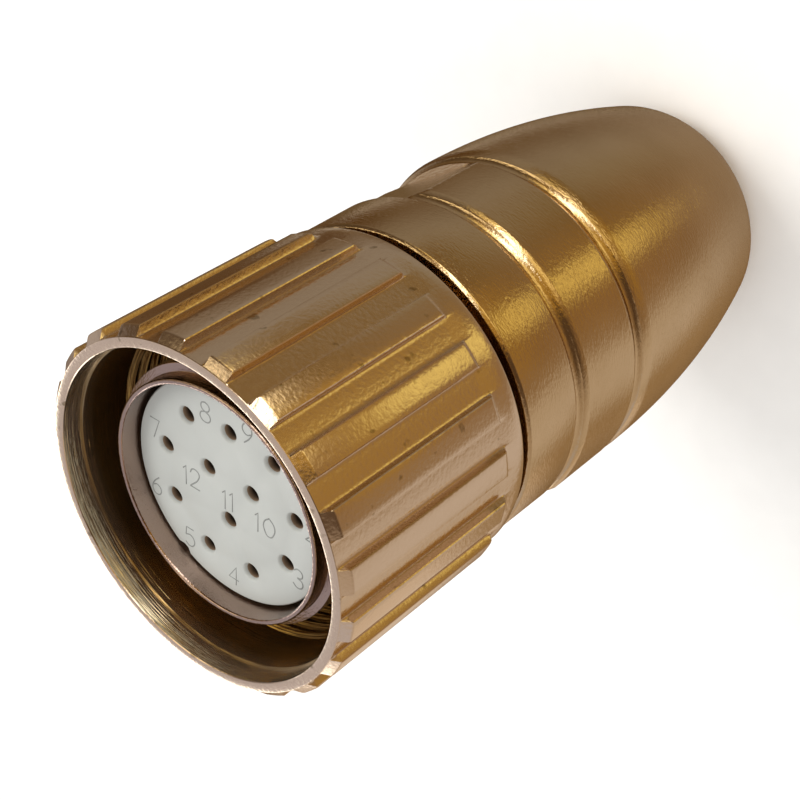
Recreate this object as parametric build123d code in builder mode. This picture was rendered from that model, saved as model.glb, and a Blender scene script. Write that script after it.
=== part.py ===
"""Straight M23 cable connector with twelve socket contacts, for an encoder.

It stands on its cable end. Z runs up to the mating face, X through the wrench flats.
Heights are measured from the cable end, in millimetres.
"""

import os
from math import asin, pi, tan

from build123d import *

# Lengths along the axis, from the cable end up
gland_length = 22.64
rear_band_length = 7.31
front_band_length = 5.75
nut_rear_gap = 0.9
nut_collar_length = 2.5
rib_length = 15.5
fit_gap = 0.05
running_gap = 0.08

# Coupling nut, thread M23 x 1
rib_count = 21
rib_height = 0.6
rib_width = 1.8
rib_rear_chamfer = 0.4
rib_root_fillet = 0.15
rib_edge_fillet = 0.1
recess_run_out = 0.6
nut_rest_turn = 5.6
lip_height = 1.42
lead_in_relief = 0.15
lead_in_length = 1.6
nut_wall = 0.75
collar_step = 0.1
lip_length = 2.6
nut_end_chamfer = 0.3

# Front sleeve and neck
sleeve_setback = 2.0
sleeve_relief = 0.23
sleeve_lip_wall = 0.38
sleeve_lip_length = 1.2
sleeve_lip_chamfer = 0.16
sleeve_wall = 1.0
sleeve_bore_length = 7.0
neck_wall = 1.0
neck_length = 6.5

# Snap ring in the neck
snap_ring_thickness = 1.2
snap_groove_depth = 0.4
snap_ring_thread_gap = 0.6
snap_ring_gap_angle = 24

# Bands, grooves and wrench flats
spigot_wall = 2.0
gland_wall = 1.5
band_step = 0.2
groove_depth = 0.5
groove_half_width = 0.1
flat_depth = 1.0
band_chamfer = 0.4

# Rear spigot, thread M22 x 1
spigot_length = 6.6
spigot_chamfer = 0.4
ring_seal_section = 0.8
ring_seal_setback = 0.9

# Contact insert
face_setback = 3.47
insert_r = 8.07
insert_guide_gap = 0.05
insert_collar_step = 0.93
insert_seat_height = 2.4
insert_collar_length = 2.0
insert_rear_length = 5.0
notch_width = 0.5
notch_depth = 0.35
notch_length = 3.0
notch_angle = 113

# Contacts, for pins of 1 mm
pin_r = 0.5
pin_gap = 0.01
contact_edge_distance = 2.37
contact_inset = 0.85
inner_circle_r = 2.18
inset_contact_place = 9
first_contact_angle = 284.8
outer_contact_count = 9
first_inner_angle = 263.6
inner_contact_count = 3
entry_gap = 0.12
entry_length = 1.15
entry_chamfer = 0.2
socket_wall = 0.41
socket_bore_depth = 6.5
cavity_gap = 0.06
slot_width = 0.25
slot_length = 5.0
collar_wall = 0.33
contact_collar_length = 1.5
crimp_r = 0.95
crimp_bore_r = 0.62
crimp_bore_depth = 4.5
crimp_reach = 3.5

# O-ring at the foot of the front sleeve
sleeve_seal_section = 1.2
sleeve_seal_depth = 0.3
seal_section_sides = 8

# Cable clamp inside the gland nut
tube_wall = 0.75
shield_flange_gap = 0.4
shield_flange_thickness = 0.8
shield_inner_r = 6.6
shield_neck_length = 2.3
thrust_ring_thickness = 1.0
cage_setback = 1.4
cage_wall = 1.6
cage_gap = 0.1
cage_slit_count = 8
cage_slit_width = 0.8
cage_ring_length = 3.3
seal_bore_r = 5.6
seal_setback = 1.6

# Gland nut
ogive_shoulder = 1.04
ogive_r = 68.6
cable_bore_r = 5.8
cable_bore_length = 4.4
cable_chamfer = 0.2
rear_face_width = 0.5
cone_length = 3.0
cone_narrowing = 2.1

# Radii, all from the sizes above
guide_bore_r = insert_r + insert_guide_gap
sleeve_bore_r = insert_r + sleeve_relief
sleeve_lip_r = sleeve_bore_r + sleeve_lip_wall
sleeve_r = sleeve_bore_r + sleeve_wall
housing_bore_r = insert_r + insert_collar_step
insert_collar_r = housing_bore_r - fit_gap
neck_r = housing_bore_r + neck_wall
neck_bore_r = neck_r + running_gap
thread_major_r = neck_bore_r + lip_height
snap_groove_r = neck_r - snap_groove_depth
snap_ring_r = thread_major_r - snap_ring_thread_gap
lead_in_r = thread_major_r + lead_in_relief
nut_floor_r = lead_in_r + nut_wall
nut_collar_r = nut_floor_r + collar_step
rib_r = nut_floor_r + rib_height
spigot_r = housing_bore_r + spigot_wall
rear_band_r = spigot_r + gland_wall
front_band_r = rear_band_r - band_step
groove_bottom_r = rear_band_r - groove_depth
outer_circle_r = insert_r - contact_edge_distance
inset_contact_r = outer_circle_r - contact_inset
socket_bore_r = pin_r + pin_gap
entry_r = pin_r + entry_gap
socket_r = socket_bore_r + socket_wall
contact_collar_r = socket_r + collar_wall
sleeve_seal_r = sleeve_r - sleeve_seal_depth
shield_flange_r = spigot_r - shield_flange_gap
tube_inner_r = insert_collar_r - tube_wall
cage_r = spigot_r - cage_setback
clamp_bore_r = cage_r + cage_gap
seal_r = cage_r - cage_wall
rear_face_r = cable_bore_r + cable_chamfer + rear_face_width

# Stations along the axis, all from the sizes above
joint_z = gland_length
front_groove_z = joint_z + rear_band_length
band_front_z = front_groove_z + front_band_length
nut_rear_z = band_front_z + nut_rear_gap
rib_end_z = nut_rear_z + nut_collar_length
nut_front_z = rib_end_z + rib_length
lip_front_z = nut_rear_z + lip_length
recess_end_z = rib_end_z - recess_run_out
thread_top_z = nut_front_z - lead_in_length
sleeve_front_z = nut_front_z - sleeve_setback
sleeve_step_z = sleeve_front_z - sleeve_lip_length
neck_front_z = band_front_z + neck_length
snap_bottom_z = lip_front_z + running_gap
snap_top_z = snap_bottom_z + snap_ring_thickness
sleeve_seal_z = neck_front_z + sleeve_seal_section + 2 * fit_gap
spigot_end_z = joint_z - spigot_length
seal_groove_top_z = joint_z - ring_seal_setback
seal_groove_bottom_z = seal_groove_top_z - ring_seal_section - 2 * fit_gap
face_z = nut_front_z - face_setback
guide_top_z = sleeve_front_z - sleeve_bore_length
insert_seat_z = band_front_z + insert_seat_height
insert_split_z = insert_seat_z - insert_collar_length
insert_rear_z = insert_split_z - insert_rear_length
cavity_top_z = face_z - entry_length
collar_top_z = insert_split_z + contact_collar_length + cavity_gap
crimp_end_z = insert_rear_z - crimp_reach
tube_end_z = spigot_end_z + shield_neck_length
thrust_top_z = spigot_end_z - shield_flange_thickness
clamp_top_z = thrust_top_z - thrust_ring_thickness
cone_bottom_z = cable_bore_length
cone_top_z = cone_bottom_z + cone_length
ogive_start_z = joint_z - ogive_shoulder

os.makedirs("parts", exist_ok=True)


def band(inner_r, outer_r, bottom, top, mode=Mode.ADD):
    """One step of a turned half section, between two radii and two heights."""
    with Locations((inner_r, bottom)):
        Rectangle(outer_r - inner_r, top - bottom, align=(Align.MIN, Align.MIN), mode=mode)


def seal_section(across):
    """Section of an O-ring, drawn with eight flats so that the small ring stays light."""
    turn = 180 / seal_section_sides
    RegularPolygon(across / 2, seal_section_sides, major_radius=False, rotation=turn)


def groove(height):
    """Half section of the cutter for a turned groove, its flat bottom at that height."""
    mouth_half_width = 2 * groove_depth + groove_half_width
    Polygon(
        (groove_bottom_r, height - groove_half_width),
        (rear_band_r + groove_depth, height - mouth_half_width),
        (rear_band_r + groove_depth, height + mouth_half_width),
        (groove_bottom_r, height + groove_half_width),
        align=None,
        mode=Mode.SUBTRACT,
    )


def contact_place(number):
    """Centre of a contact on the insert face, counted as the face is numbered."""
    if number > outer_contact_count:
        step = 360 / inner_contact_count
        angle = first_inner_angle - step * (number - outer_contact_count - 1)
        return Vector(inner_circle_r, 0, 0).rotate(Axis.Z, angle)
    angle = first_contact_angle - 360 / outer_contact_count * (number - 1)
    radius = inset_contact_r if number == inset_contact_place else outer_circle_r
    return Vector(radius, 0, 0).rotate(Axis.Z, angle)


contact_numbers = range(1, outer_contact_count + inner_contact_count + 1)
contact_places = [(contact_place(n).X, contact_place(n).Y) for n in contact_numbers]


# Coupling nut: ribs milled along a turned blank, then bored from both ends
with BuildPart() as coupling_nut:
    with BuildSketch(Plane.XY.offset(recess_end_z)) as ribs:
        with PolarLocations(nut_floor_r, rib_count, start_angle=nut_rest_turn):
            Rectangle(4 * rib_height, rib_width)
        Circle(nut_floor_r)
        Circle(rib_r, mode=Mode.INTERSECT)
        corners = ribs.vertices().group_by(lambda v: round(Vector(v.X, v.Y, 0).length, 2))
        fillet(corners[-1], rib_edge_fillet)
        fillet(corners[0], rib_root_fillet)
    extrude(amount=rib_length + recess_run_out)
    with BuildSketch(Plane.XY.offset(nut_rear_z)):
        Circle(nut_collar_r)
    extrude(amount=recess_end_z - nut_rear_z)
    with BuildSketch(Plane.XZ):
        with BuildLine():
            Polyline(
                (0, nut_rear_z),
                (nut_collar_r, nut_rear_z),
                (nut_collar_r, rib_end_z - rib_rear_chamfer),
                (rib_r, rib_end_z),
                (rib_r, nut_front_z - rib_height),
                (nut_floor_r, nut_front_z),
                (0, nut_front_z),
                close=True,
            )
        make_face()
    revolve(axis=Axis.Z, mode=Mode.INTERSECT)
    with BuildSketch(Plane.XZ):
        band(0, neck_bore_r, nut_rear_z, lip_front_z)
        band(0, thread_major_r, lip_front_z, thread_top_z)
        band(0, lead_in_r, thread_top_z, nut_front_z)
    revolve(axis=Axis.Z, mode=Mode.SUBTRACT)
    rear_edges = coupling_nut.edges().filter_by(GeomType.CIRCLE).group_by(Axis.Z)[0]
    chamfer(rear_edges.sort_by(SortBy.RADIUS)[-1], nut_end_chamfer)
coupling_nut.part.label = "coupling_nut"


# Snap ring: split, sits in the neck and carries the nut's lip
with BuildPart() as nut_snap_ring:
    with BuildSketch(Plane.XZ):
        band(snap_groove_r + fit_gap, snap_ring_r, snap_bottom_z, snap_top_z)
    revolve(axis=Axis.Z, revolution_arc=360 - snap_ring_gap_angle)
nut_snap_ring.part.label = "nut_snap_ring"


# Main housing: one turned piece from the front sleeve to the rear spigot
with BuildPart() as main_housing:
    with BuildSketch(Plane.XZ) as housing_section:
        band(sleeve_bore_r, sleeve_lip_r, guide_top_z, sleeve_front_z)
        band(guide_bore_r, sleeve_r, neck_front_z, sleeve_step_z)
        band(guide_bore_r, neck_r, band_front_z, neck_front_z)
        band(housing_bore_r, front_band_r, front_groove_z, band_front_z)
        band(housing_bore_r, rear_band_r, joint_z, front_groove_z)
        band(housing_bore_r, spigot_r, spigot_end_z, joint_z)
        band(0, sleeve_bore_r, guide_top_z, sleeve_front_z, mode=Mode.SUBTRACT)
        band(0, housing_bore_r, spigot_end_z, insert_seat_z, mode=Mode.SUBTRACT)
        band(snap_groove_r, neck_r, snap_bottom_z, snap_top_z, mode=Mode.SUBTRACT)
        band(sleeve_seal_r, sleeve_r, neck_front_z, sleeve_seal_z, mode=Mode.SUBTRACT)
        band(
            spigot_r - ring_seal_section,
            spigot_r,
            seal_groove_bottom_z,
            seal_groove_top_z,
            mode=Mode.SUBTRACT,
        )
        groove(front_groove_z)
        groove(joint_z)
    revolve(axis=Axis.Z)
    with BuildSketch(Plane.XY.offset(joint_z)):
        Circle(2 * rear_band_r)
        Rectangle(2 * (rear_band_r - flat_depth), 4 * rear_band_r, mode=Mode.SUBTRACT)
    extrude(amount=front_groove_z - joint_z, mode=Mode.SUBTRACT)
    lip_edges = main_housing.edges().filter_by(GeomType.CIRCLE).group_by(Axis.Z)[-1]
    chamfer(lip_edges, sleeve_lip_chamfer)
    front_edges = main_housing.edges().filter_by(GeomType.CIRCLE)
    band_rim = front_edges.filter_by(lambda e: abs(e.center().Z - band_front_z) < fit_gap)
    chamfer(band_rim.sort_by(SortBy.RADIUS)[-1], band_chamfer)
    spigot_rim = main_housing.edges().filter_by(GeomType.CIRCLE).group_by(Axis.Z)[0]
    chamfer(spigot_rim.sort_by(SortBy.RADIUS)[-1], spigot_chamfer)
main_housing.part.label = "main_housing"


# O-ring at the foot of the front sleeve, against the neck
with BuildPart() as sleeve_o_ring:
    with BuildSketch(Plane.XZ):
        with Locations((sleeve_seal_r + sleeve_seal_section / 2, (neck_front_z + sleeve_seal_z) / 2)):
            seal_section(sleeve_seal_section)
    revolve(axis=Axis.Z)
sleeve_o_ring.part.label = "sleeve_o_ring"


# O-ring in the spigot groove, under the gland nut
with BuildPart() as housing_o_ring:
    with BuildSketch(Plane.XZ):
        ring_centre_z = (seal_groove_top_z + seal_groove_bottom_z) / 2
        with Locations((spigot_r - ring_seal_section / 2, ring_centre_z)):
            seal_section(ring_seal_section)
    revolve(axis=Axis.Z)
housing_o_ring.part.label = "housing_o_ring"


# Front insert: pin entries, socket cavities and a collar that seats in the housing
with BuildPart() as contact_insert_front:
    with BuildSketch(Plane.XZ):
        band(0, insert_r, insert_seat_z, face_z)
        band(0, insert_collar_r, insert_split_z, insert_seat_z)
    revolve(axis=Axis.Z)
    with BuildSketch(Plane.XY.offset(face_z)):
        with PolarLocations(insert_r, 1, start_angle=notch_angle):
            Rectangle(2 * notch_depth, notch_width)
    extrude(amount=-notch_length, mode=Mode.SUBTRACT)
    with BuildSketch(Plane.XY.offset(face_z)):
        with Locations(*contact_places):
            Circle(entry_r)
    extrude(amount=-entry_length, mode=Mode.SUBTRACT)
    with BuildSketch(Plane.XY.offset(cavity_top_z)):
        with Locations(*contact_places):
            Circle(socket_r + cavity_gap)
    extrude(amount=insert_split_z - cavity_top_z, mode=Mode.SUBTRACT)
    with BuildSketch(Plane.XY.offset(collar_top_z)):
        with Locations(*contact_places):
            Circle(contact_collar_r + cavity_gap)
    extrude(amount=insert_split_z - collar_top_z, mode=Mode.SUBTRACT)
    mouths = contact_insert_front.edges().filter_by(GeomType.CIRCLE).group_by(Axis.Z)[-1]
    chamfer(mouths.filter_by(lambda e: e.radius < insert_r / 2), entry_chamfer)
contact_insert_front.part.label = "contact_insert_front"


# Rear insert: closes the cavities behind the contact collars
with BuildPart() as contact_insert_rear:
    with BuildSketch(Plane.XY.offset(insert_rear_z)):
        Circle(insert_collar_r)
        with Locations(*contact_places):
            Circle(crimp_r + cavity_gap, mode=Mode.SUBTRACT)
    extrude(amount=insert_rear_length)
contact_insert_rear.part.label = "contact_insert_rear"


# Twelve crimp sockets: slit front barrel, collar and crimp barrel
contacts = []
for number, (x, y) in zip(contact_numbers, contact_places):
    socket_front_z = cavity_top_z - fit_gap
    collar_bottom_z = insert_split_z + cavity_gap / 2
    with BuildPart() as contact:
        with BuildSketch(Plane((x, y, 0), x_dir=(1, 0, 0), z_dir=(0, -1, 0))):
            band(0, socket_r, collar_bottom_z, socket_front_z)
            band(0, contact_collar_r, collar_bottom_z, collar_bottom_z + contact_collar_length)
            band(0, crimp_r, crimp_end_z, collar_bottom_z)
            band(0, socket_bore_r, socket_front_z - socket_bore_depth, socket_front_z, Mode.SUBTRACT)
            band(0, crimp_bore_r, crimp_end_z, crimp_end_z + crimp_bore_depth, Mode.SUBTRACT)
        revolve(axis=Axis((x, y, 0), (0, 0, 1)))
        with BuildSketch(Plane.XY.offset(socket_front_z)):
            with Locations((x, y)):
                Rectangle(4 * socket_r, slot_width)
        extrude(amount=-slot_length, mode=Mode.SUBTRACT)
    contact.part.label = f"contact_{number}"
    contacts.append(contact.part)


# Insulating sleeve round the crimped wires, between insert and shield ring
with BuildPart() as insulating_sleeve:
    with BuildSketch(Plane.XY.offset(tube_end_z)):
        Circle(insert_collar_r)
        Circle(tube_inner_r, mode=Mode.SUBTRACT)
    extrude(amount=insert_rear_z - tube_end_z)
insulating_sleeve.part.label = "insulating_sleeve"


# Shield ring: its neck goes up the bore, its flange sits on the spigot
with BuildPart() as shield_ring:
    with BuildSketch(Plane.XZ):
        band(shield_inner_r, shield_flange_r, thrust_top_z, spigot_end_z)
        band(tube_inner_r, insert_collar_r, spigot_end_z, tube_end_z)
    revolve(axis=Axis.Z)
shield_ring.part.label = "shield_ring"


# Thrust ring between the shield ring and the rubber
with BuildPart() as thrust_ring:
    with BuildSketch(Plane.XY.offset(clamp_top_z)):
        Circle(cage_r)
        Circle(shield_inner_r, mode=Mode.SUBTRACT)
    extrude(amount=thrust_ring_thickness)
thrust_ring.part.label = "thrust_ring"


# Rubber seal round the cable
with BuildPart() as cable_seal:
    with BuildSketch(Plane.XY.offset(cone_bottom_z + seal_setback)):
        Circle(seal_r)
        Circle(seal_bore_r, mode=Mode.SUBTRACT)
    extrude(amount=clamp_top_z - cone_bottom_z - seal_setback)
cable_seal.part.label = "cable_seal"


# Clamping cage: slit fingers with a conical end that the gland nut closes
with BuildPart() as clamping_cage:
    with BuildSketch(Plane.XZ):
        cage_bore_r = seal_r + fit_gap
        nose_length = (cage_r - cage_bore_r) * cone_length / cone_narrowing
        with BuildLine():
            Polyline(
                (cage_bore_r, clamp_top_z),
                (cage_r, clamp_top_z),
                (cage_r, cone_top_z),
                (cage_bore_r, cone_top_z - nose_length),
                close=True,
            )
        make_face()
    revolve(axis=Axis.Z)
    with BuildSketch(Plane.XY.offset(cone_bottom_z)):
        with PolarLocations(cage_r, cage_slit_count):
            Rectangle(4 * cage_wall, cage_slit_width)
    extrude(amount=clamp_top_z - cage_ring_length - cone_bottom_z, mode=Mode.SUBTRACT)
clamping_cage.part.label = "clamping_cage"


# Gland nut: the bullet, an ogive with a rounded nose, threaded on the spigot
with BuildPart() as gland_nut:
    with BuildSketch(Plane.XZ) as bullet:
        nose_end_r = rear_band_r - ogive_r + (ogive_r**2 - ogive_start_z**2) ** 0.5
        nose_turn = pi / 2 - asin(ogive_start_z / ogive_r)
        with BuildLine():
            side = Line((rear_band_r, joint_z), (rear_band_r, ogive_start_z))
            nose = TangentArc(side @ 1, (nose_end_r, 0), tangent=(0, -1))
            Polyline(nose @ 1, (0, 0), (0, joint_z), side @ 0)
        make_face()
        nose_corner = bullet.vertices().group_by(Axis.Y)[0].sort_by(Axis.X)[-1]
        fillet(nose_corner, (nose_end_r - rear_face_r) / tan(nose_turn / 2))
        groove(joint_z)
        band(0, spigot_r + fit_gap, thrust_top_z, joint_z, Mode.SUBTRACT)
        band(0, clamp_bore_r, cone_top_z, joint_z, Mode.SUBTRACT)
        with BuildLine():
            Polyline(
                (0, cone_bottom_z),
                (clamp_bore_r - cone_narrowing, cone_bottom_z),
                (clamp_bore_r, cone_top_z),
                (0, cone_top_z),
                close=True,
            )
        make_face(mode=Mode.SUBTRACT)
        band(0, cable_bore_r, 0, cone_bottom_z, Mode.SUBTRACT)
    revolve(axis=Axis.Z)
    rear_rims = gland_nut.edges().filter_by(GeomType.CIRCLE).group_by(Axis.Z)[0]
    chamfer(rear_rims.sort_by(SortBy.RADIUS)[0], cable_chamfer)
gland_nut.part.label = "gland_nut"


for piece in (
    coupling_nut.part,
    nut_snap_ring.part,
    main_housing.part,
    sleeve_o_ring.part,
    housing_o_ring.part,
    contact_insert_front.part,
    contact_insert_rear.part,
    *contacts,
    insulating_sleeve.part,
    shield_ring.part,
    thrust_ring.part,
    cable_seal.part,
    clamping_cage.part,
    gland_nut.part,
):
    export_step(piece, f"parts/{piece.label}.step")
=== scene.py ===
"""Looks of the encoder connector: plated metal, moulded insert with numbered contacts, studio."""

import math

import bmesh
import bpy
from mathutils import Matrix, Vector


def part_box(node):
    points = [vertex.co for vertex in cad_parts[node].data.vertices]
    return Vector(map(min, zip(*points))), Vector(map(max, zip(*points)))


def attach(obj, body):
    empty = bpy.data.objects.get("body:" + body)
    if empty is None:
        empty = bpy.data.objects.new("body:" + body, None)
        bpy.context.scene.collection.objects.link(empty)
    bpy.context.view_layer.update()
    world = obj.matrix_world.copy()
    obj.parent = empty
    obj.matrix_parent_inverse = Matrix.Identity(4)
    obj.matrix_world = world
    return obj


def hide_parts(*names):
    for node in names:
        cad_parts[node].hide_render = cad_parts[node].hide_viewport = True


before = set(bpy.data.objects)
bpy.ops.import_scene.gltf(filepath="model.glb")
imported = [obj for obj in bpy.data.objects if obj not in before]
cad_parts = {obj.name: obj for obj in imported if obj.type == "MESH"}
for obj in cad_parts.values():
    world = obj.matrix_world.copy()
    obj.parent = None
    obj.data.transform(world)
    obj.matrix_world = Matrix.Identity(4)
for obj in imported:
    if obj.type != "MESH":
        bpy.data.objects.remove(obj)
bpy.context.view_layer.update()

MM = 0.001


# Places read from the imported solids, in millimetres

def heights(node):
    """Lowest and highest height of a node, in millimetres."""
    low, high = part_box(node)
    return low.z / MM, high.z / MM


nut_rear, face_height = heights("coupling_nut")
spigot_end, sleeve_front = heights("main_housing")
insert_face = heights("contact_insert_front")[1]
gland_rear, joint_height = heights("gland_nut")

# Sizes of the pieces that are dressed: lengths in millimetres, angles in degrees

# Coupling nut
rib_count = 21
rib_radius = 13.0
floor_radius = 12.4
collar_radius = 12.5
rib_half_width = 0.9
half_pitch = math.pi / rib_count * floor_radius
rib_rest_turn = 5.6
rib_end = face_height - 15.5
rib_end_slope = 0.5
recess_end = rib_end - 0.6
recess_run_out = 2.2
recess_corner = 0.5
thread_major = 11.5
thread_minor = 11.15
thread_pitch = 1.0
thread_sunk = 0.05
lead_in_radius = 11.65
thread_top = face_height - 1.6
thread_bottom = nut_rear + 4.5
thread_first_turn = face_height - 5.4
lip_front = nut_rear + 2.6
lip_radius = 10.08

# Main housing
sleeve_bore = 8.3
sleeve_chamfer = 0.1
sleeve_lip = 8.68
sleeve_rounding = 0.16
sleeve_step = sleeve_front - 1.2
sleeve_radius = 9.3
band_front = nut_rear - 0.9
neck_front = band_front + 6.5
neck_radius = 10.0
seal_seat_top = neck_front + 1.3
seal_seat_radius = 9.0
snap_bottom = lip_front + 0.08
snap_top = snap_bottom + 1.2
snap_seat_radius = 9.6
front_band = 12.3
band_chamfer = 0.2
rear_band = 12.5
groove_bottom = 12.0
groove_radius = 0.56
groove_height = 29.95
half_flats = 11.5
spigot_radius = 11.0
spigot_clearance = 0.05
housing_bore = 9.0
guide_bore = 8.12
guide_top = sleeve_front - 7.0
insert_seat = band_front + 2.4

# Gland nut
ogive_radius = 68.6
ogive_start = 21.6
nose_rounding = 3.48
cable_radius = 5.8
cable_chamfer = 0.2
cable_depth = 4.4
cone_bottom_radius = 7.6
cone_top = 7.4
clamp_bore = 9.7
gland_thread_bottom = spigot_end - 0.8

# Front insert
insert_radius = 8.07
insert_rounding = 0.08
entry_radius = 0.55
entry_mouth = 0.74
entry_depth = 1.15
outer_count = 9
inner_count = 3
contact_numbers = range(1, outer_count + inner_count + 1)
outer_circle = 5.7
inner_circle = 2.18
inset_place = 9
inset_circle = 4.85
first_outer_angle = 284.8
first_inner_angle = 263.6
notch_angle = 113.0
notch_depth = 0.28
notch_half_width = 0.25
notch_slope = 0.1

# Engraved numbers
numeral_height = 1.52
numeral_stroke = 0.13
numeral_depth = 0.035
numeral_turn = 234.8


# Materials

def srgb(code):
    """A colour written as sRGB hex, turned linear."""
    channels = [int(code[i:i + 2], 16) / 255 for i in (1, 3, 5)]
    linear = [c / 12.92 if c <= 0.04045 else ((c + 0.055) / 1.055) ** 2.4 for c in channels]
    return (*linear, 1.0)


def node(tree, kind, settings=None, stops=(), **links):
    """Adds a node of that kind with its settings. Each link is named for its input, or i and its
    number, and holds a value or another node's output. A colour ramp also gets its stops, each
    a place and a hex colour."""
    made = tree.nodes.new(kind)
    for key, value in (settings or {}).items():
        setattr(made, key, value)
    for _ in stops[2:]:
        made.color_ramp.elements.new(1.0)
    for index, (place, code) in enumerate(sorted(stops)):
        made.color_ramp.elements[index].position = place
        made.color_ramp.elements[index].color = srgb(code)
    for key, value in links.items():
        socket = made.inputs[int(key[1:]) if key[1:].isdigit() else key.replace("_", " ")]
        if isinstance(value, bpy.types.NodeSocket):
            tree.links.new(value, socket)
        else:
            socket.default_value = value
    return made


def new_material(name):
    """An empty node material with its shader and its object coordinates."""
    made = bpy.data.materials.new(name)
    made.use_nodes = True
    tree = made.node_tree
    shader = tree.nodes["Principled BSDF"]
    place = node(tree, "ShaderNodeTexCoord").outputs["Object"]
    return made, tree, shader, place


def turned_nickel(
    name, light, dark, front, front_start, front_full, polish, mark_length, relief_mm,
):
    """Nickel on turned brass: satin, with fine marks that run round the axis, which break a
    highlight into short sparkling streaks. The marks are drawn about twice as coarse as real
    ones, to show at this size. Where the polishing wheel doesn't reach, as in the nut's bore,
    part of the surface stays dull. Towards the front the plate turns to another colour: painted
    shade on the sleeve, painted light at the mouth of the nut's bore."""
    made, tree, shader, place = new_material(name)
    mark_spacing = 0.14
    marks_round = rear_band / mark_length
    cloud_width = 6.0
    axes = node(tree, "ShaderNodeSeparateXYZ", Vector=place).outputs
    across = node(tree, "ShaderNodeCombineXYZ", X=axes["X"], Y=axes["Y"]).outputs[0]
    outward = node(tree, "ShaderNodeVectorMath", {"operation": "NORMALIZE"}, i0=across).outputs[0]
    radius = node(tree, "ShaderNodeVectorMath", {"operation": "LENGTH"}, i0=across).outputs["Value"]
    around = node(
        tree, "ShaderNodeMapping", Vector=outward, Scale=(marks_round, marks_round, 0),
    ).outputs[0]
    along = node(tree, "ShaderNodeCombineXYZ", Z=axes["Z"]).outputs[0]
    marks_place = node(
        tree, "ShaderNodeVectorMath", {"operation": "MULTIPLY_ADD"},
        i0=along, i1=(0, 0, 1 / (mark_spacing * MM)), i2=around,
    ).outputs[0]
    ring = node(
        tree, "ShaderNodeMath", {"operation": "DIVIDE"}, i0=radius, i1=mark_spacing * MM,
    ).outputs[0]
    marks = node(
        tree, "ShaderNodeTexNoise", {"noise_dimensions": "4D"},
        Vector=marks_place, W=ring, Scale=1.0, Detail=2.0, Roughness=0.6,
    )
    clouds = node(
        tree, "ShaderNodeTexNoise", Vector=place, Scale=1 / (cloud_width * MM), Detail=3.0,
    )
    shader.inputs["Metallic"].default_value = polish
    polished = node(
        tree, "ShaderNodeValToRGB", stops=((0.35, dark), (0.65, light)), Fac=clouds.outputs["Fac"],
    ).outputs["Color"]
    # Share of the front tone: painted shade on the sleeve, painted light at the bore's mouth
    painted_front_share = node(
        tree, "ShaderNodeMapRange", Value=axes["Z"],
        From_Min=front_start * MM, From_Max=front_full * MM,
    ).outputs[0]
    colour = node(
        tree, "ShaderNodeMix", {"data_type": "RGBA"}, i0=painted_front_share, i6=polished, i7=srgb(front),
    ).outputs[2]
    tree.links.new(colour, shader.inputs["Base Color"])
    rough = node(tree, "ShaderNodeMapRange", Value=marks.outputs["Fac"], To_Min=0.1, To_Max=0.2)
    tree.links.new(rough.outputs[0], shader.inputs["Roughness"])
    bump = node(
        tree, "ShaderNodeBump",
        Strength=1.0, Distance=relief_mm * MM, Height=marks.outputs["Fac"],
    )
    tree.links.new(bump.outputs[0], shader.inputs["Normal"])
    return made


def cast_nickel():
    """Nickel on a die-cast nut: soft orange peel that breaks up reflections, with a few spots
    where small pits dull the plate."""
    made, tree, shader, place = new_material("cast_nickel_plate")
    peel_width = 0.28
    peel_relief = 0.03
    spot_spacing = 1.1
    peel = node(
        tree, "ShaderNodeTexNoise",
        Vector=place, Scale=1 / (peel_width * MM), Detail=1.0, Roughness=0.5,
    )
    spots = node(
        tree, "ShaderNodeTexNoise",
        Vector=place, Scale=1 / (spot_spacing * MM), Detail=2.0, Roughness=0.5,
    )
    pits = node(
        tree, "ShaderNodeMapRange", Value=spots.outputs["Fac"],
        From_Min=0.68, From_Max=0.76,
    ).outputs[0]
    shader.inputs["Metallic"].default_value = 1.0
    colour = node(
        tree, "ShaderNodeMix", {"data_type": "RGBA"},
        i0=pits, i6=srgb("#DCC6AC"), i7=srgb("#AC987C"),
    ).outputs[2]
    tree.links.new(colour, shader.inputs["Base Color"])
    rough = node(tree, "ShaderNodeMapRange", Value=peel.outputs["Fac"], To_Min=0.13, To_Max=0.26)
    tree.links.new(rough.outputs[0], shader.inputs["Roughness"])
    bump = node(
        tree, "ShaderNodeBump",
        Strength=0.5, Distance=peel_relief * MM, Height=peel.outputs["Fac"],
    )
    tree.links.new(bump.outputs[0], shader.inputs["Normal"])
    return made


def moulded(name, light, dark, roughness, grain_mm):
    """Moulded plastic or rubber: even colour with a faint mottle and a fine eroded grain."""
    made, tree, shader, place = new_material(name)
    mottle_width = 3.0
    grain_relief = 0.01
    gloss_spread = 0.06
    mottle = node(
        tree, "ShaderNodeTexNoise", Vector=place, Scale=1 / (mottle_width * MM), Detail=3.0,
    )
    grain = node(tree, "ShaderNodeTexNoise", Vector=place, Scale=1 / (grain_mm * MM), Detail=2.0)
    colour = node(
        tree, "ShaderNodeValToRGB", stops=((0.3, dark), (0.7, light)), Fac=mottle.outputs["Fac"],
    )
    tree.links.new(colour.outputs["Color"], shader.inputs["Base Color"])
    rough = node(
        tree, "ShaderNodeMapRange", Value=grain.outputs["Fac"],
        To_Min=roughness - gloss_spread, To_Max=roughness + gloss_spread,
    )
    tree.links.new(rough.outputs[0], shader.inputs["Roughness"])
    bump = node(
        tree, "ShaderNodeBump",
        Strength=0.15, Distance=grain_relief * MM, Height=grain.outputs["Fac"],
    )
    tree.links.new(bump.outputs[0], shader.inputs["Normal"])
    return made


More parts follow.
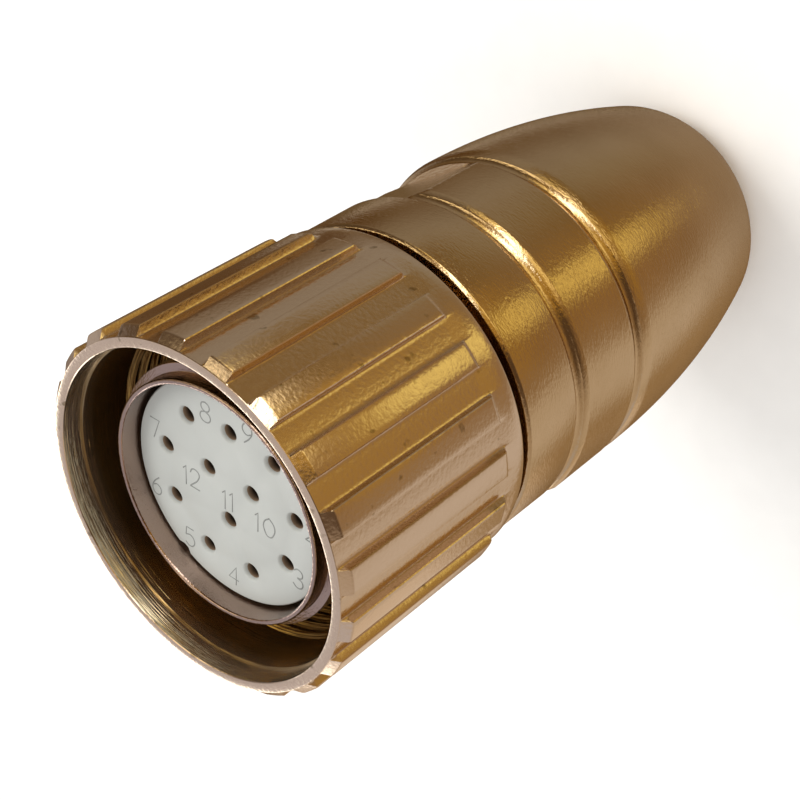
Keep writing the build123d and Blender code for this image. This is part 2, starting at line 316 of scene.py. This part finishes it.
def moulded_entry():
    """Entry wall, painted shade: tan where light still reaches it, near black further in."""
    made, tree, shader, place = new_material("moulded_pbt_entry_painted_shade")
    shade_start = 0.1
    shade_full = 0.9
    height = node(tree, "ShaderNodeSeparateXYZ", Vector=place).outputs["Z"]
    depth = node(
        tree, "ShaderNodeMapRange", Value=height,
        From_Min=(insert_face - shade_start) * MM, From_Max=(insert_face - shade_full) * MM,
    ).outputs[0]
    # Painted shade: the wall darkens with depth below the face
    shade = node(
        tree, "ShaderNodeValToRGB",
        stops=((0.0, "#A08C74"), (0.3, "#7A6450"), (0.75, "#2E2219")), Fac=depth,
    )
    tree.links.new(shade.outputs["Color"], shader.inputs["Base Color"])
    shader.inputs["Roughness"].default_value = 0.5
    return made


def plain_metal(name, light, dark, roughness):
    """Small turned or stamped metal: its own colour, with faint stains that change its gloss."""
    made, tree, shader, place = new_material(name)
    stain_width = 1.5
    gloss_spread = 0.05
    stains = node(
        tree, "ShaderNodeTexNoise", Vector=place, Scale=1 / (stain_width * MM), Detail=3.0,
    )
    shader.inputs["Metallic"].default_value = 1.0
    colour = node(
        tree, "ShaderNodeValToRGB", stops=((0.3, dark), (0.7, light)), Fac=stains.outputs["Fac"],
    )
    tree.links.new(colour.outputs["Color"], shader.inputs["Base Color"])
    rough = node(
        tree, "ShaderNodeMapRange", Value=stains.outputs["Fac"],
        To_Min=roughness - gloss_spread, To_Max=roughness + gloss_spread,
    )
    tree.links.new(rough.outputs[0], shader.inputs["Roughness"])
    return made


# Nickel on the body, bright and warm; in front of the neck painted shade makes the sleeve greyer
body_plate = turned_nickel(
    "turned_nickel_plate", "#D2B892", "#CAAF87", "#AC968A", neck_front, neck_front + 1.0,
    polish=1.0, mark_length=0.4, relief_mm=0.029,
)
# Nickel in the nut's bore: painted shade makes it dark golden deep in, painted light pale at the
# mouth
bore_plate = turned_nickel(
    "bored_nickel_painted_shade", "#A08048", "#886C3E", "#CABCA0", face_height - 2.7, face_height - 0.8,
    polish=0.95, mark_length=6.0, relief_mm=0.06,
)
nut_plate = cast_nickel()

# Plastics: a pale matt insert, painted shade in its strokes and entries, near black parts inside
insert_plastic = moulded("moulded_pbt_grey", "#B2B4B0", "#AEB0AC", 0.5, 0.15)
engraving_shade = moulded("engraved_pbt_shadow", "#8A8C89", "#7F817E", 0.7, 0.1)
entry_shade = moulded_entry()
black_plastic = moulded("moulded_polyamide_black", "#2A2A2B", "#1E1E1F", 0.5, 0.2)
seal_rubber = moulded("moulded_rubber_black", "#1C1C1C", "#141414", 0.7, 0.2)

# Small metal parts inside: yellow brass, warmer gold on the contacts, grey steel
bare_brass = plain_metal("turned_brass", "#C9A35A", "#AE8743", 0.3)
contact_gold = plain_metal("gold_plated_brass", "#D2A64F", "#B58A3B", 0.25)
spring_steel = plain_metal("stamped_spring_steel", "#8F8F8F", "#6F6F6F", 0.35)


# Making of pieces

# Edges that bend more stay sharp, and corners of a section that bend more can be rounded
sharp_bend = 28
rounded_bend = 30


def arc(centre_r, centre_z, radius, start, end, count):
    """Points of a round stretch of a half section, from one angle to another in degrees."""
    turns = [math.radians(start + (end - start) * i / count) for i in range(count + 1)]
    return [(centre_r + radius * math.cos(t), centre_z + radius * math.sin(t)) for t in turns]


def finish_piece(bm, name, body, materials, slot, *stands_for):
    """Makes a bmesh a smooth piece of the scene, which rides on a body and stands for its CAD
    nodes."""
    bmesh.ops.recalc_face_normals(bm, faces=bm.faces[:])
    mesh = bpy.data.meshes.new(name)
    bm.to_mesh(mesh)
    bm.free()
    for material in materials:
        mesh.materials.append(material)
    piece = bpy.data.objects.new(name, mesh)
    bpy.context.scene.collection.objects.link(piece)
    for face in mesh.polygons:
        face.use_smooth = True
    mesh.set_sharp_from_angle(angle=math.radians(sharp_bend))
    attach(piece, body)
    if stands_for:
        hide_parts(*stands_for)
    return piece


def turned(section, steps, rounding=0.0):
    """A closed half section in millimetres, its corners rounded where asked, spun round the
    axis."""
    bm = bmesh.new()
    points = [bm.verts.new((r * MM, 0, z * MM)) for r, z in section]
    for a, b in zip(points, points[1:] + points[:1]):
        bm.edges.new((a, b))
    if rounding:
        corners = []
        for before, here, after in zip(points[-1:] + points[:-1], points, points[1:] + points[:1]):
            bend = (here.co - before.co).angle(after.co - here.co)
            if bend > math.radians(rounded_bend):
                corners.append(here)
        bmesh.ops.bevel(
            bm, geom=corners, offset=rounding * MM, offset_type="OFFSET", segments=3,
            profile=0.5, affect="VERTICES", clamp_overlap=True, material=-1,
        )
    bmesh.ops.spin(
        bm, geom=bm.verts[:] + bm.edges[:], cent=(0, 0, 0), axis=(0, 0, 1),
        angle=2 * math.pi, steps=steps, use_merge=True,
    )
    return bm


# Coupling nut: a turned blank whose outside is then milled into ribs

def rib_columns():
    """Columns of points across one rib and the recess beside it, each an offset round the nut
    from the rib's middle and a radius, in millimetres."""
    edge = rib_half_width
    side = [
        (0.45, rib_radius),
        (edge - 0.14, rib_radius),
        (edge - 0.05, rib_radius - 0.02),
        (edge, rib_radius - 0.09),
        (edge + 0.03, floor_radius + 0.14),
        (edge + 0.07, floor_radius + 0.04),
        (edge + 0.16, floor_radius),
        (edge + 0.35, floor_radius),
        (edge + 0.6, floor_radius),
    ]
    left = [(-offset, radius) for offset, radius in reversed(side)]
    return left + [(0.0, rib_radius)] + side + [(half_pitch, floor_radius)]


def recess_share(offset, height):
    """How far a recess is cut there: none behind its round end, all past its run-out."""
    across = min(1.0, (half_pitch - abs(offset)) / (half_pitch - rib_half_width))
    end = recess_end + recess_corner * (1 - math.sqrt(1 - across ** 2))
    share = min(1.0, max(0.0, (height - end) / recess_run_out + 0.5))
    return share * share * (3 - 2 * share)


def make_coupling_nut():
    """The nut: a blank with collar, bore and chamfered front is spun, then each column of its
    points moves to its place on a rib or in a recess."""
    chamfer_bottom = face_height - (rib_radius - floor_radius)
    slope_start = rib_end - rib_end_slope
    run_out = [recess_end - recess_run_out * share for share in (1 / 2, 1 / 3, 1 / 6, 0)]
    section = [
        (lip_radius, nut_rear),
        (collar_radius - 0.22, nut_rear),
        (collar_radius - 0.06, nut_rear + 0.06),
        (collar_radius, nut_rear + 0.22),
        # Rings through the rear half of the recesses' run-out
        *((collar_radius, height) for height in run_out),
        (collar_radius + 0.02, slope_start),
        (collar_radius + 0.1, rib_end - 0.7 * rib_end_slope),
        (rib_radius - 0.1, rib_end - 0.3 * rib_end_slope),
        (rib_radius - 0.02, rib_end),
        (rib_radius, rib_end + 0.15),
        (rib_radius, (rib_end + chamfer_bottom) / 2),
        (rib_radius, chamfer_bottom - 0.1),
        (rib_radius - 0.03, chamfer_bottom),
        (rib_radius - 0.1, chamfer_bottom + 0.08),
        (floor_radius + 0.04, face_height - 0.1),
        (floor_radius, face_height - 0.06),
        (floor_radius - 0.03, face_height - 0.02),
        (floor_radius - 0.08, face_height),
        (lead_in_radius + 0.15, face_height),
        (lead_in_radius + 0.07, face_height - 0.02),
        (lead_in_radius + 0.02, face_height - 0.07),
        (lead_in_radius, face_height - 0.15),
        (lead_in_radius, thread_top),
        (thread_major, thread_top),
        (thread_major, lip_front),
        (lip_radius, lip_front),
    ]
    outside = thread_major + 0.3
    bore = (lead_in_radius + 0.01) * MM
    columns = rib_columns()
    steps = rib_count * len(columns)
    bm = turned(section, steps)
    for v in bm.verts:
        radius = math.hypot(v.co.x, v.co.y) / MM
        column = round(math.degrees(math.atan2(v.co.y, v.co.x)) % 360 * steps / 360) % steps
        pitch, place = divmod(column, len(columns))
        offset, milled = columns[place]
        if radius > outside:
            uncut = min(radius, max(milled, collar_radius))
            cut = min(radius, milled)
            radius = uncut + (cut - uncut) * recess_share(offset, v.co.z / MM)
        turn = math.radians(rib_rest_turn + pitch * 360 / rib_count) + offset / milled
        v.co.x = radius * MM * math.cos(turn)
        v.co.y = radius * MM * math.sin(turn)
    for face in bm.faces:
        if face.calc_center_median().xy.length < bore:
            face.material_index = 1
    return finish_piece(
        bm, "coupling_nut_dressed", "coupling_nut", [nut_plate, bore_plate],
        "plated_nut", "coupling_nut",
    )


def make_nut_thread():
    """The nut's inside thread: one ridge wound up the bore, its foot sunk in the wall."""
    steps_in_a_turn = 96
    bm = bmesh.new()
    ridge = [
        (thread_major + thread_sunk, 0.02),
        (thread_minor, 0.42),
        (thread_minor, 0.58),
        (thread_major + thread_sunk, 0.98),
    ]
    points = [bm.verts.new((r * MM, 0, (thread_bottom + z * thread_pitch) * MM)) for r, z in ridge]
    for a, b in zip(points, points[1:] + points[:1]):
        bm.edges.new((a, b))
    turns = int((thread_first_turn - thread_bottom) / thread_pitch)
    steps = turns * steps_in_a_turn
    wound = bmesh.ops.spin(
        bm, geom=bm.verts[:] + bm.edges[:], cent=(0, 0, 0), axis=(0, 0, 1),
        angle=2 * math.pi * turns, steps=steps, dvec=(0, 0, turns * thread_pitch * MM / steps),
    )
    last_points = [v for v in wound["geom_last"] if isinstance(v, bmesh.types.BMVert)]
    for end in (points, last_points):
        bmesh.ops.contextual_create(bm, geom=end)
    return finish_piece(bm, "nut_thread", "coupling_nut", [bore_plate], "plated_nut")


# Housing, gland nut and insert

def make_housing():
    """The body with its sleeve, neck, bands and grooves, and the two flats of its rear band."""
    groove = arc(groove_bottom + groove_radius, groove_height, groove_radius, 115, 245, 10)
    joint = arc(groove_bottom + groove_radius, joint_height, groove_radius, 115, 180, 6)
    band_top = groove_height - groove_radius
    band_foot = joint_height + groove_radius
    section = [
        (sleeve_bore, guide_top),
        (sleeve_bore, sleeve_front - sleeve_chamfer),
        (sleeve_bore + sleeve_chamfer, sleeve_front),
        *arc(
            sleeve_lip - sleeve_rounding, sleeve_front - sleeve_rounding, sleeve_rounding,
            90, 0, 5,
        ),
        (sleeve_lip, sleeve_step),
        (sleeve_radius, sleeve_step),
        (sleeve_radius, seal_seat_top),
        (seal_seat_radius, seal_seat_top),
        (seal_seat_radius, neck_front),
        (neck_radius, neck_front),
        (neck_radius, snap_top),
        (snap_seat_radius, snap_top),
        (snap_seat_radius, snap_bottom),
        (neck_radius, snap_bottom),
        (neck_radius, band_front),
        (front_band - band_chamfer, band_front),
        (front_band, band_front - band_chamfer),
        *groove,
        # Two close rings near each end keep the shading of the flats even
        (rear_band, band_top - 0.3),
        (rear_band, band_top - 0.4),
        (rear_band, band_foot + 0.4),
        (rear_band, band_foot + 0.3),
        *joint,
        (spigot_radius, joint_height),
        (spigot_radius, spigot_end),
        (housing_bore, spigot_end),
        (housing_bore, insert_seat),
        (guide_bore, insert_seat),
        (guide_bore, guide_top),
    ]
    bm = turned(section, steps=250, rounding=0.1)
    for v in bm.verts:
        if joint_height < v.co.z / MM < groove_height and abs(v.co.x) > half_flats * MM:
            v.co.x = math.copysign(half_flats * MM, v.co.x)
    return finish_piece(
        bm, "main_housing_dressed", "connector_body", [body_plate], "plated_body", "main_housing",
    )


def make_gland_nut():
    """The rear sleeve: its ogive runs into a round nose, where the two arcs have one tangent."""
    centre_r = rear_band - ogive_radius
    nose_centre_r = centre_r + math.sqrt(
        (ogive_radius - nose_rounding) ** 2 - (ogive_start - nose_rounding) ** 2
    )
    meeting = math.degrees(math.atan2(nose_rounding - ogive_start, nose_centre_r - centre_r))
    ogive = arc(centre_r, ogive_start, ogive_radius, 0, meeting, 36)
    nose = arc(nose_centre_r, nose_rounding, nose_rounding, meeting, -90, 12)
    joint = arc(groove_bottom + groove_radius, joint_height, groove_radius, 180, 245, 6)
    section = [
        (spigot_radius + spigot_clearance, joint_height),
        *joint,
        *ogive,
        *nose[1:],
        (cable_radius + cable_chamfer, gland_rear),
        (cable_radius, gland_rear + cable_chamfer),
        (cable_radius, cable_depth),
        (cone_bottom_radius, cable_depth),
        (clamp_bore, cone_top),
        (clamp_bore, gland_thread_bottom),
        (spigot_radius + spigot_clearance, gland_thread_bottom),
    ]
    bm = turned(section, steps=256)
    return finish_piece(
        bm, "gland_nut_dressed", "connector_body", [body_plate], "plated_body", "gland_nut",
    )


def contact_centre(number):
    """Centre of a contact on the insert face, in millimetres: nine outside, three inside."""
    if number > outer_count:
        angle = first_inner_angle - 360 / inner_count * (number - outer_count - 1)
        radius = inner_circle
    else:
        angle = first_outer_angle - 360 / outer_count * (number - 1)
        radius = inset_circle if number == inset_place else outer_circle
    turn = math.radians(angle)
    return Vector((radius * math.cos(turn), radius * math.sin(turn), 0))


def drawn_on(bm, loop):
    """Extrudes an open loop of edges in place, and gives the new open loop and its points."""
    grown = bmesh.ops.extrude_edge_only(bm, edges=loop)["geom"]
    loop = [e for e in grown if isinstance(e, bmesh.types.BMEdge) and e.is_boundary]
    return loop, {v for e in loop for v in e.verts}


def make_insert():
    """The front insert: its face is filled between the notched rim and the twelve entries, then
    each entry is drawn down ring by ring, and so is the side."""
    bm = bmesh.new()
    face_radius = (insert_radius - insert_rounding) * MM
    rim = bmesh.ops.create_circle(bm, segments=128, radius=face_radius)["verts"]
    for v in rim:
        turn = math.degrees(math.atan2(v.co.y, v.co.x)) - notch_angle
        across = math.radians((turn + 180) % 360 - 180) * insert_radius
        if abs(across) < notch_half_width + notch_slope:
            v.co *= 1 - notch_depth / insert_radius
    mouths = []
    for number in contact_numbers:
        mouth = bmesh.ops.create_circle(bm, segments=32, radius=entry_mouth * MM)["verts"]
        bmesh.ops.translate(bm, verts=mouth, vec=contact_centre(number) * MM)
        mouths.append(mouth)
    bmesh.ops.triangle_fill(bm, edges=bm.edges[:], use_beauty=True)
    bmesh.ops.translate(bm, verts=bm.verts[:], vec=(0, 0, insert_face * MM))
    # Radius and depth of each ring down an entry: its rounded mouth, then its wall
    entry_rings = ((0.69, 0.02), (0.62, 0.09), (entry_radius, 0.24), (entry_radius, entry_depth))
    for number, mouth in zip(contact_numbers, mouths):
        centre = contact_centre(number) * MM
        loop = [e for e in bm.edges if e.is_boundary and all(v in mouth for v in e.verts)]
        for radius, depth in entry_rings:
            loop, ring = drawn_on(bm, loop)
            if depth == entry_depth:
                for face in {f for e in loop for f in e.link_faces}:
                    face.material_index = 1
            for v in ring:
                away = Vector((v.co.x - centre.x, v.co.y - centre.y, 0)).normalized() * radius * MM
                v.co = Vector((centre.x + away.x, centre.y + away.y, (insert_face - depth) * MM))
    # Growth and drop of each ring down the side: its rounded edge, its middle and its seat
    rounded = (1 + insert_rounding / insert_radius, insert_rounding)
    side_rings = (rounded, (1.0, 3.0), (1.0, insert_face - insert_seat))
    outer = [e for e in bm.edges if e.is_boundary and all(v in rim for v in e.verts)]
    for grow, drop in side_rings:
        outer, ring = drawn_on(bm, outer)
        for v in ring:
            v.co.x *= grow
            v.co.y *= grow
            v.co.z = (insert_face - drop) * MM
    return finish_piece(
        bm, "contact_insert_dressed", "connector_body", [insert_plastic, entry_shade],
        "grey_plastic", "contact_insert_front",
    )


# Strokes of each numeral in a box one high: True for a round one or False, then its points
numeral_strokes = {
    "0": [
        (True, (0, 0.5), (0.28, 0.2), (0.28, -0.2), (0, -0.5), (-0.28, -0.2), (-0.28, 0.2),
         (0, 0.5)),
    ],
    "1": [(False, (-0.14, 0.32), (0.02, 0.5), (0.02, -0.5))],
    "2": [
        (True, (-0.27, 0.24), (-0.17, 0.44), (0.04, 0.5), (0.24, 0.36), (0.22, 0.12),
         (-0.28, -0.5)),
        (False, (-0.28, -0.5), (0.28, -0.5)),
    ],
    "3": [
        (True, (-0.24, 0.36), (-0.04, 0.5), (0.2, 0.4), (0.2, 0.14), (-0.04, 0.03)),
        (True, (-0.04, 0.03), (0.22, -0.08), (0.24, -0.36), (-0.02, -0.5), (-0.27, -0.34)),
    ],
    "4": [(False, (0.13, -0.5), (0.13, 0.5), (-0.29, -0.2), (0.29, -0.2))],
    "5": [
        (False, (0.23, 0.5), (-0.2, 0.5), (-0.24, 0.06)),
        (True, (-0.24, 0.06), (0.04, 0.14), (0.27, -0.1), (0.2, -0.4), (-0.04, -0.5),
         (-0.27, -0.36)),
    ],
    "6": [
        (True, (0.16, 0.5), (-0.14, 0.16), (-0.26, -0.16), (-0.16, -0.43), (0.06, -0.49),
         (0.25, -0.3), (0.22, -0.06), (0.02, 0.06), (-0.2, -0.04)),
    ],
    "7": [(False, (-0.27, 0.5), (0.27, 0.5), (-0.08, -0.5))],
    "8": [
        (True, (0, 0.5), (0.21, 0.38), (0.2, 0.14), (0, 0.03), (-0.2, 0.14), (-0.21, 0.38),
         (0, 0.5)),
        (True, (0, 0.03), (0.26, -0.12), (0.25, -0.38), (0, -0.5), (-0.25, -0.38), (-0.26, -0.12),
         (0, 0.03)),
    ],
    "9": [
        (True, (-0.16, -0.5), (0.14, -0.16), (0.26, 0.16), (0.16, 0.43), (-0.06, 0.49),
         (-0.25, 0.3), (-0.22, 0.06), (-0.02, -0.06), (0.2, 0.04)),
    ],
}

# Where the middle of each numeral is on the face, in millimetres along its right and its up
numeral_places = [
    ("1", 4.9, 5.2), ("2", 6.95, 0.95), ("3", 6.0, -3.42), ("4", 0.42, -6.56), ("5", -3.62, -5.69),
    ("6", -6.63, -2.93), ("7", -6.59, 1.83), ("8", -1.99, 5.49), ("9", 1.59, 5.68),
    ("1", 2.5, -0.8), ("0", 3.49, -0.7),
    ("1", -0.36, -0.6), ("1", 0.28, -0.48),
    ("1", -3.86, -0.5), ("2", -3.02, -0.4),
]


def make_contact_numbers():
    """The engraved numbers beside the entries, as fine strokes of painted shade set in the face."""
    turn = math.radians(numeral_turn)
    right = Vector((math.cos(turn), math.sin(turn), 0))
    up = Vector((-right.y, right.x, 0))
    drawing = bpy.data.curves.new("contact_numbers", "CURVE")
    drawing.dimensions = "3D"
    drawing.bevel_depth = numeral_stroke / 2 * MM
    drawing.bevel_resolution = 2
    drawing.resolution_u = 8
    drawing.use_fill_caps = True
    lowered = insert_face - numeral_depth
    for numeral, x, y in numeral_places:
        for is_round, *points in numeral_strokes[numeral]:
            stroke = drawing.splines.new("BEZIER")
            stroke.bezier_points.add(len(points) - 1)
            for point, (across, along) in zip(stroke.bezier_points, points):
                place = right * (x + across * numeral_height) + up * (y + along * numeral_height)
                point.co = Vector((place.x, place.y, lowered)) * MM
                point.handle_left_type = point.handle_right_type = "AUTO" if is_round else "VECTOR"
    template = bpy.data.objects.new("numeral_strokes", drawing)
    bm = bmesh.new()
    bm.from_mesh(template.to_mesh())
    bpy.data.objects.remove(template)
    return finish_piece(bm, "contact_numbers", "connector_body", [engraving_shade], "grey_plastic")


make_coupling_nut()
make_nut_thread()
make_housing()
make_gland_nut()
make_insert()
make_contact_numbers()

# Finishes of the nodes that stay as the solids give them
carried = {
    "nut_snap_ring": spring_steel,
    "sleeve_o_ring": seal_rubber,
    "housing_o_ring": seal_rubber,
    "contact_insert_rear": insert_plastic,
    "insulating_sleeve": insert_plastic,
    "shield_ring": bare_brass,
    "thrust_ring": black_plastic,
    "cable_seal": seal_rubber,
    "clamping_cage": black_plastic,
}
carried.update({f"contact_{number}": contact_gold for number in contact_numbers})
for name, material in carried.items():
    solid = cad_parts[name]
    solid.data.materials.clear()
    solid.data.materials.append(material)


# Studio

# What the metal mirrors, by azimuth in degrees. Low down: a pale card, brown walls
low_walls = [
    (180, "#C8B8A4"),
    (200, "#D8CCC2"),
    (220, "#CEC0B2"),
    (232, "#A48A6C"),
    (252, "#9C7C58"),
    (292, "#987A50"),
    (312, "#927A58"),
    (336, "#9A8E78"),
    (359, "#A0978C"),
    (36, "#7C6850"),
    (56, "#7C6548"),
    (62, "#C8BEB0"),
    (70, "#8A7454"),
    (82, "#6E5638"),
    (130, "#90704A"),
    (158, "#A88C66"),
]

# Higher up: the light side behind, the dark side where the camera stands, gold and white beside it
high_walls = [
    (180, "#CDC0B4"),
    (212, "#B8A592"),
    (232, "#604A34"),
    (262, "#5A4632"),
    (273, "#B89044"),
    (297, "#D8B45A"),
    (308, "#FFFBF0"),
    (324, "#FFFBF0"),
    (334, "#B89450"),
    (346, "#665440"),
    (44, "#5E4C38"),
    (66, "#C8C4CC"),
    (150, "#CAC6CE"),
]

# The ground below the low walls, and the heights between which it and the high walls come in
ground_tone = "#A4927E"
ground_heights = (-0.84, -1.0)
high_heights = (-0.4, 0.3)

# What stands out of the room: where it begins, is full, is full still and ends by azimuth,
# between which heights it comes in and goes out, its colour and what it adds to the brightness
standing_out = [
    # Pale card at one side
    ((120, 134, 176, 190), (-0.67, -0.6), (0.3, -0.4), "#E2D0BC", 0.0),
    # Walls as the nut sees them: golden round the lamp, brown beside it and at the dark side
    ((236, 252, 300, 312), (-0.68, -0.63), (-0.3, -0.5), "#B08C4A", 0.0),
    ((300, 312, 340, 356), (-0.68, -0.63), (-0.3, -0.5), "#8A7046", 0.0),
    ((20, 36, 76, 90), (-0.68, -0.63), (-0.3, -0.5), "#644A2E", 0.0),
    # Golden lamp low in front
    ((264, 273, 285, 290), (-0.89, -0.75), (-0.5, -0.7), "#FFE98E", 0.15),
    # Window behind
    ((70, 84, 146, 160), (-0.05, 0.05), (0.4, 0.25), "#FFFFFF", 2.5),
    # Glow of the golden lamp above it
    ((270, 284, 334, 348), (-0.4, -0.25), (0.25, 0.05), "#ECD694", 0.6),
    # White strip that stands up beside the camera
    ((306, 312, 321, 328), (-0.4, 0.1), (1.2, 1.1), "#FFFDF8", 3.5),
    # Golden pane overhead, which lights the far side of the nut's bore
    ((340, 355, 50, 65), (0.55, 0.7), (1.2, 1.1), "#F0E0BC", 0.9),
]


def make_floor():
    """A plain pale floor, kept out of the metal's reflections, which show the room instead."""
    bm = bmesh.new()
    bmesh.ops.create_grid(bm, x_segments=1, y_segments=1, size=3.0)
    mesh = bpy.data.meshes.new("studio_floor")
    bm.to_mesh(mesh)
    bm.free()
    floor = bpy.data.objects.new("studio_floor", mesh)
    bpy.context.scene.collection.objects.link(floor)
    made, tree, shader, place = new_material("pale_paper")
    shader.inputs["Roughness"].default_value = 0.9
    fibre_width = 4.0
    fibre = node(
        tree, "ShaderNodeTexNoise", Vector=place, Scale=1 / (fibre_width * MM), Detail=2.0,
    )
    colour = node(
        tree, "ShaderNodeValToRGB",
        stops=((0.3, "#F4F3F1"), (0.7, "#F7F6F4")), Fac=fibre.outputs["Fac"],
    )
    tree.links.new(colour.outputs["Color"], shader.inputs["Base Color"])
    mesh.materials.append(made)
    floor.visible_glossy = False


def by_azimuth(stops):
    """Stops given by azimuth in degrees, turned to places on a ramp that runs round the room."""
    return [(((azimuth + 180) % 360) / 360, code) for azimuth, code in stops]


def make_world():
    """White surroundings for light. Polished metal mirrors a warm room instead, drawn as broad
    tones by direction."""
    world = bpy.data.worlds.new("studio")
    world.use_nodes = True
    bpy.context.scene.world = world
    tree = world.node_tree
    sky = tree.nodes["Background"]
    direction = node(tree, "ShaderNodeTexCoord").outputs["Generated"]
    height = node(tree, "ShaderNodeSeparateXYZ", Vector=direction).outputs["Z"]
    around = node(
        tree, "ShaderNodeTexGradient", {"gradient_type": "RADIAL"}, Vector=direction,
    ).outputs["Fac"]
    room, higher = (
        node(tree, "ShaderNodeValToRGB", stops=by_azimuth(walls), Fac=around).outputs["Color"]
        for walls in (low_walls, high_walls)
    )
    for (start, end), beyond in ((ground_heights, srgb(ground_tone)), (high_heights, higher)):
        share = node(
            tree, "ShaderNodeMapRange", Value=height, From_Min=start, From_Max=end,
        ).outputs[0]
        room = node(
            tree, "ShaderNodeMix", {"data_type": "RGBA"}, i0=share, i6=room, i7=beyond,
        ).outputs[2]
    brighter = 0.0
    for azimuths, fade_in, fade_out, code, extra in standing_out:
        stops = by_azimuth(zip(azimuths, ("#000000", "#FFFFFF", "#FFFFFF", "#000000")))
        share = node(tree, "ShaderNodeValToRGB", stops=stops, Fac=around).outputs["Color"]
        for start, end in (fade_in, fade_out):
            fade = node(
                tree, "ShaderNodeMapRange", Value=height, From_Min=start, From_Max=end,
            ).outputs[0]
            share = node(
                tree, "ShaderNodeMath", {"operation": "MULTIPLY"}, i0=share, i1=fade,
            ).outputs[0]
        room = node(
            tree, "ShaderNodeMix", {"data_type": "RGBA"}, i0=share, i6=room, i7=srgb(code),
        ).outputs[2]
        brighter = node(
            tree, "ShaderNodeMath", {"operation": "MULTIPLY_ADD"}, i0=share, i1=extra, i2=brighter,
        ).outputs[0]
    mirrored = node(tree, "ShaderNodeLightPath").outputs["Is Glossy Ray"]
    colour = node(
        tree, "ShaderNodeMix", {"data_type": "RGBA"}, i0=mirrored, i6=srgb("#F0F0F0"), i7=room,
    ).outputs[2]
    strength = node(
        tree, "ShaderNodeMath", {"operation": "MULTIPLY_ADD"}, i0=brighter, i1=mirrored, i2=1.0,
    ).outputs[0]
    tree.links.new(colour, sky.inputs["Color"])
    tree.links.new(strength, sky.inputs["Strength"])


def soft_light(name, place, target, size, watts, colour):
    """A square soft box that faces a point and doesn't show in the metal."""
    lamp = bpy.data.lights.new(name, "AREA")
    lamp.size = size
    lamp.energy = watts
    lamp.color = srgb(colour)[:3]
    made = bpy.data.objects.new(name, lamp)
    made.location = place
    made.rotation_euler = (Vector(target) - Vector(place)).to_track_quat("-Z", "Y").to_euler()
    made.visible_glossy = False
    bpy.context.scene.collection.objects.link(made)


make_floor()
make_world()
middle = (0, 0, face_height * MM / 2)
soft_light(
    "key_soft_box", place=(0.4, 0.16, 0.4), target=middle, size=0.36, watts=2.0, colour="#FFFDF8",
)
soft_light(
    "fill_soft_box", place=(-0.25, -0.35, 0.45), target=middle, size=0.4, watts=0.8,
    colour="#FFFAF2",
)

# Camera at the photograph's place: its right and up directions, and where it stands
camera_focal_mm = 73.24
camera_sensor_mm = 36
camera_right = Vector((-0.39839, -0.66177, -0.63506))
camera_up = Vector((0.89501, -0.12922, -0.42684))
camera_place = Vector((21.65, -83.83, face_height + 53.28)) * MM
camera_data = bpy.data.cameras.new("camera")
camera_data.lens = camera_focal_mm
camera_data.sensor_width = camera_sensor_mm
camera_data.clip_start = 0.005
camera_data.clip_end = 20
camera = bpy.data.objects.new("camera", camera_data)
axes = Matrix((camera_right, camera_up, camera_right.cross(camera_up))).transposed().to_4x4()
camera.matrix_world = Matrix.Translation(camera_place) @ axes
bpy.context.scene.collection.objects.link(camera)
bpy.context.scene.camera = camera
bpy.context.scene.view_settings.view_transform = "Standard"
